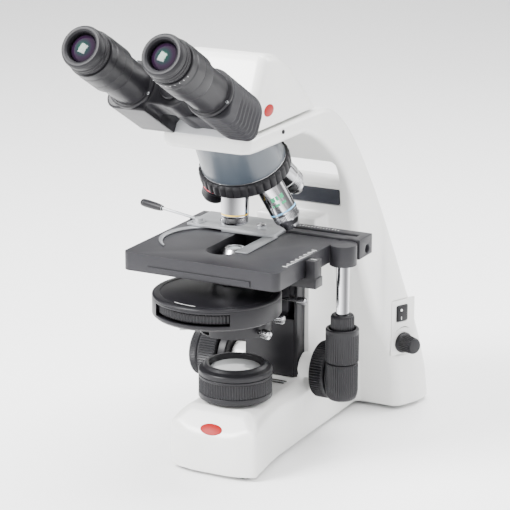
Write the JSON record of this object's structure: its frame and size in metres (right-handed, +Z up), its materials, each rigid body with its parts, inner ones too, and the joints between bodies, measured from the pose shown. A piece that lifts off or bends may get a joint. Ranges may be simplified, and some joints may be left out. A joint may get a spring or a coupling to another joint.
{
  "type": "microscope",
  "caption": "Upright binocular microscope with inclined hinged eyepiece tubes, revolving nosepiece, mechanical stage, phase turret condenser and a tall hollow arm on a splayed foot.",
  "frame": {"origin": "centre of the bounding box of the whole instrument at desk level, under the rubber feet", "axes": "+Z up, +Y from the user towards the back of the arm, +X to the user's right"},
  "size_m": [0.2288, 0.4412, 0.4321],
  "materials": {
    "aluminium": "satin",
    "black_paint": "satin",
    "black_plastic": "matte",
    "black_rubber": "matte",
    "chrome": "polished",
    "circuit": "matte",
    "collar_paint": "satin",
    "glass": "polished",
    "grey_plastic": "satin",
    "steel": "satin",
    "white_paint": "satin"
  },
  "bodies": {
    "stand": {"base_casting": "white_paint", "arm_casting": "white_paint", "base_cover": "steel", "cover_screws": "steel", "rubber_feet": "black_rubber", "collector_housing": "black_plastic", "field_lens": "glass", "lamp_module": "aluminium", "power_supply": "circuit", "power_inlet": "black_plastic", "focus_guide_rail": "steel", "focus_gear_box": "black_paint", "control_panel": "grey_plastic", "head_dovetail_ring": "aluminium", "nosepiece_collar": "collar_paint"},
    "dimmer": {"dimmer_knob": "black_plastic"},
    "rocker": {"switch_rocker": "black_plastic"},
    "field_diaphragm": {"field_ring": "black_plastic"},
    "coarse_focus": {"coarse_knobs": "black_plastic"},
    "fine_focus": {"fine_knobs": "black_plastic"},
    "stage_lift": {"focus_carriage": "black_paint", "stage_bracket": "black_paint"},
    "stage_y": {"stage_plate": "black_paint", "stage_rail": "black_paint", "drive_column": "chrome", "drive_collar": "black_plastic"},
    "y_drive": {"stage_y_knob": "black_plastic"},
    "x_drive": {"stage_x_knob": "black_plastic"},
    "stage_x": {"slide_holder": "aluminium"},
    "finger": {"holder_finger": "aluminium"},
    "condenser": {"condenser_carrier": "black_paint", "condenser_housing": "black_paint", "turret_cover": "black_paint", "condenser_top": "aluminium"},
    "condenser_drive": {"condenser_knob": "black_plastic"},
    "phase": {"phase_wheel": "black_plastic"},
    "iris": {"iris_lever": "steel"},
    "screw_front": {"centring_screw_front": "chrome"},
    "screw_side": {"centring_screw_side": "chrome"},
    "key": {"turret_key": "chrome"},
    "nosepiece": {"nosepiece_turret": "aluminium", "nosepiece_grip": "black_rubber", "objective_low": "black_paint", "objective_medium": "chrome", "objective_high": "chrome", "objective_oil": "chrome"},
    "head": {"head_casting": "white_paint", "pivot_flange": "grey_plastic", "prism_block": "glass", "hinge_tube": "steel"},
    "arm_right": {"prism_arm_right": "black_paint", "eye_tube_right": "black_paint", "eyepiece_right": "black_plastic", "eye_lens_right": "glass"},
    "arm_left": {"prism_arm_left": "black_paint", "eye_tube_left": "black_paint", "eyepiece_left": "black_plastic", "eye_lens_left": "glass"},
    "diopter_right": {"diopter_eyecup_right": "black_rubber"},
    "diopter_left": {"diopter_eyecup_left": "black_rubber"}
  },
  "joints": [
    {"name": "dimmer_turn", "type": "hinge", "parent": "stand", "child": "dimmer", "pos_m": [0.09505, 0.17382, 0.07], "axis": [0.9121, -0.4099, 0], "range_deg": [0, 270]},
    {"name": "switch_rock", "type": "hinge", "parent": "stand", "child": "rocker", "pos_m": [0.09277, 0.17265, 0.1], "axis": [0.4099, 0.9121, 0], "range_deg": [-6, 6]},
    {"name": "field_ring_turn", "type": "hinge", "parent": "stand", "child": "field_diaphragm", "pos_m": [0.01185, -0.01738, 0.075], "axis": [0, 0, 1], "range_deg": [0, 60]},
    {"name": "focus_travel", "type": "slide", "parent": "stand", "child": "stage_lift", "axis": [0, 0, 1], "range_m": [-0.02, 0.0015]},
    {"name": "coarse_turn", "type": "hinge", "parent": "stand", "child": "coarse_focus", "pos_m": [0.01185, 0.06762, 0.07], "axis": [1, 0, 0], "range_deg": [-200, 20]},
    {"name": "fine_turn", "type": "hinge", "parent": "stand", "child": "fine_focus", "pos_m": [0.01185, 0.06762, 0.07], "axis": [1, 0, 0], "continuous": true},
    {"name": "stage_y_travel", "type": "slide", "parent": "stage_lift", "child": "stage_y", "axis": [0, 1, 0], "range_m": [-0.032, 0.016]},
    {"name": "y_knob_turn", "type": "hinge", "parent": "stage_y", "child": "y_drive", "pos_m": [0.09885, 0.02662, 0.11], "axis": [0, 0, 1], "range_deg": [-320, 160]},
    {"name": "stage_x_travel", "type": "slide", "parent": "stage_y", "child": "stage_x", "axis": [1, 0, 0], "range_m": [-0.038, 0.038]},
    {"name": "x_knob_turn", "type": "hinge", "parent": "stage_y", "child": "x_drive", "pos_m": [0.09885, 0.02662, 0.08], "axis": [0, 0, 1], "range_deg": [-370, 370]},
    {"name": "finger_open", "type": "hinge", "parent": "stage_x", "child": "finger", "pos_m": [-0.04615, 0.02062, 0.21], "axis": [0, 0, 1], "range_deg": [-25, 0], "stiffness_Nm_per_rad": 0.05, "springref_deg": 5.73},
    {"name": "condenser_travel", "type": "slide", "parent": "stage_lift", "child": "condenser", "axis": [0, 0, 1], "range_m": [-0.01, 0]},
    {"name": "condenser_knob_turn", "type": "hinge", "parent": "stage_lift", "child": "condenser_drive", "pos_m": [0.01185, 0.06262, 0.16], "axis": [1, 0, 0], "range_deg": [-200, 10]},
    {"name": "phase_wheel_turn", "type": "hinge", "parent": "condenser", "child": "phase", "pos_m": [0.01185, -0.05238, 0.162], "axis": [0, 0, 1], "continuous": true},
    {"name": "iris_turn", "type": "hinge", "parent": "condenser", "child": "iris", "pos_m": [0.01185, -0.01738, 0.131], "axis": [0, 0, 1], "range_deg": [-24, 10]},
    {"name": "front_screw_turn", "type": "hinge", "parent": "condenser", "child": "screw_front", "pos_m": [0.01185, -0.01738, 0.1315], "axis": [0.9272, -0.3746, 0], "continuous": true},
    {"name": "side_screw_turn", "type": "hinge", "parent": "condenser", "child": "screw_side", "pos_m": [0.01185, -0.01738, 0.14], "axis": [0.9903, 0.1392, 0], "continuous": true},
    {"name": "key_turn", "type": "hinge", "parent": "condenser", "child": "key", "pos_m": [0.06185, -0.01138, 0.1605], "axis": [1, 0, 0], "continuous": true},
    {"name": "nosepiece_turn", "type": "hinge", "parent": "stand", "child": "nosepiece", "pos_m": [0.01185, 0.00712, 0.2644], "axis": [0, 0.4226, -0.9063], "continuous": true},
    {"name": "head_swivel", "type": "hinge", "parent": "stand", "child": "head", "pos_m": [0.01185, -0.01738, 0.321], "axis": [0, 0, 1], "continuous": true},
    {"name": "right_arm_swing", "type": "hinge", "parent": "head", "child": "arm_right", "pos_m": [0.01185, -0.10468, 0.355], "axis": [0, -0.866, 0.5], "range_deg": [0, 50]},
    {"name": "left_arm_swing", "type": "hinge", "parent": "head", "child": "arm_left", "pos_m": [0.01185, -0.10468, 0.355], "axis": [0, -0.866, 0.5], "range_deg": [-50, 0]},
    {"name": "right_diopter_turn", "type": "hinge", "parent": "arm_right", "child": "diopter_right", "pos_m": [0.04935, -0.19994, 0.41], "axis": [0, -0.866, 0.5], "range_deg": [-150, 150]},
    {"name": "left_diopter_turn", "type": "hinge", "parent": "arm_left", "child": "diopter_left", "pos_m": [-0.02565, -0.19994, 0.41], "axis": [0, -0.866, 0.5], "range_deg": [-150, 150]}
  ],
  "couplings": [
    {"joint": "coarse_turn", "follows": "focus_travel", "rad_per_m": 166.67},
    {"joint": "y_knob_turn", "follows": "stage_y_travel", "rad_per_m": 166.67},
    {"joint": "x_knob_turn", "follows": "stage_x_travel", "rad_per_m": 166.67},
    {"joint": "condenser_knob_turn", "follows": "condenser_travel", "rad_per_m": 333.33},
    {"joint": "left_arm_swing", "follows": "right_arm_swing", "ratio": -1}
  ]
}
